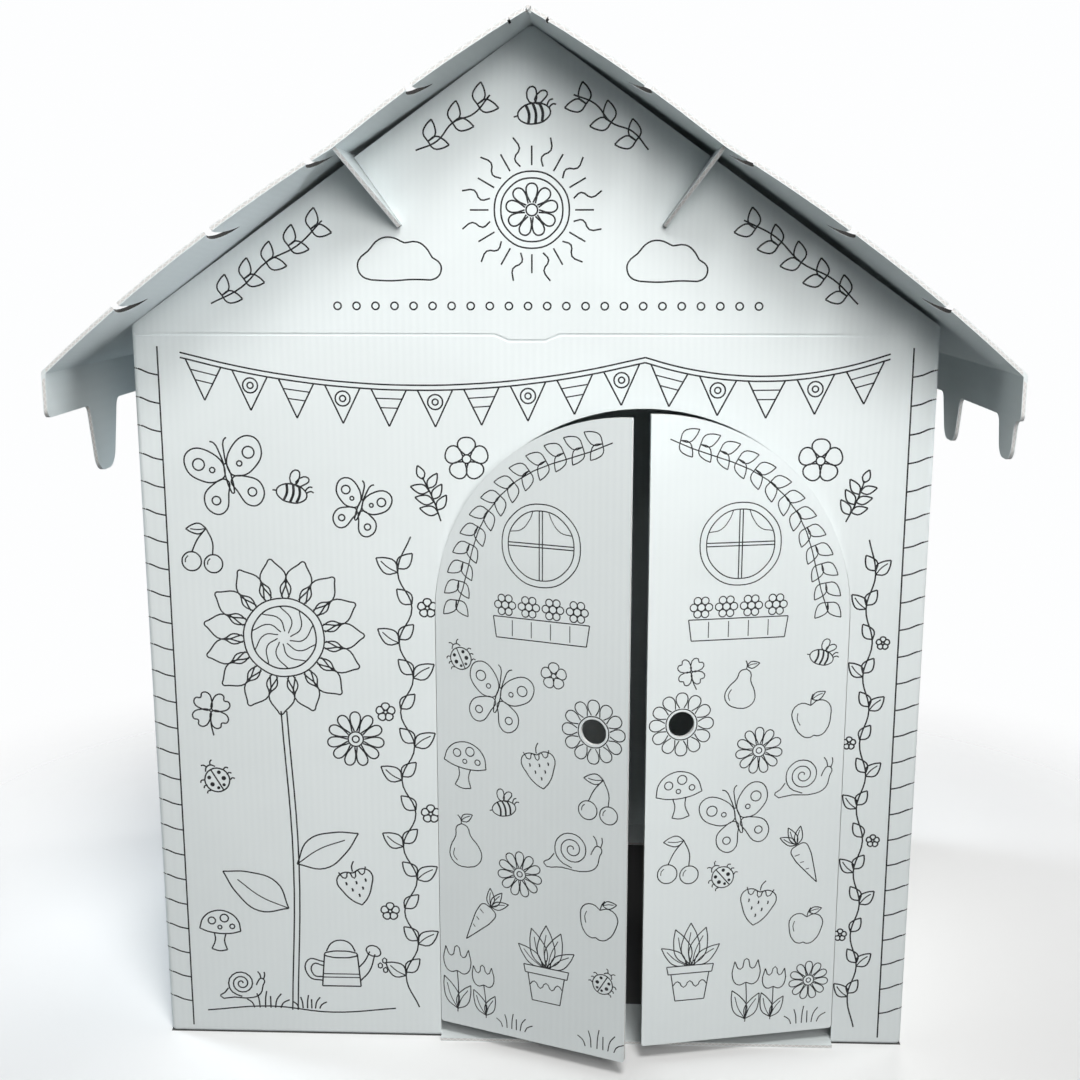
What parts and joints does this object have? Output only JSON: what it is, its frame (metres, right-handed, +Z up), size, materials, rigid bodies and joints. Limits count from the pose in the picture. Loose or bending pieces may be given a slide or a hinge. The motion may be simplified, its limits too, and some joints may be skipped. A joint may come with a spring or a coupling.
{
  "type": "cardboard playhouse",
  "caption": "Folded white corrugated-board playhouse: open-floored wall sleeve with an arched double door, and a separate pitched roof sheet with drip-edged eaves resting on loose beams.",
  "frame": {"origin": "on the floor, at the middle of the footprint", "axes": "+Z up, +X to the right seen from the front, +Y from the front wall to the back wall"},
  "size_m": [0.924, 0.74, 1.0593],
  "materials": {
    "wall_board": "white coated corrugated board, matt",
    "door_board": "white coated corrugated board, matt",
    "roof_board": "white coated corrugated board, matt",
    "beam_board": "white coated corrugated board, matt"
  },
  "bodies": {
    "house": {"wall_sleeve": "wall_board", "roof": "roof_board", "left_roof_beam": "beam_board", "right_roof_beam": "beam_board"},
    "left_leaf": {"left_door": "door_board"},
    "right_leaf": {"right_door": "door_board"}
  },
  "joints": [
    {"name": "left_door_crease", "type": "hinge", "parent": "house", "child": "left_leaf", "pos_m": [-0.1005, -0.2904, 0.25], "axis": [0, 0, -1], "range_deg": [-21, 149]},
    {"name": "right_door_crease", "type": "hinge", "parent": "house", "child": "right_leaf", "pos_m": [0.3245, -0.2904, 0.25], "axis": [0, 0, 1], "range_deg": [-12, 128]}
  ]
}
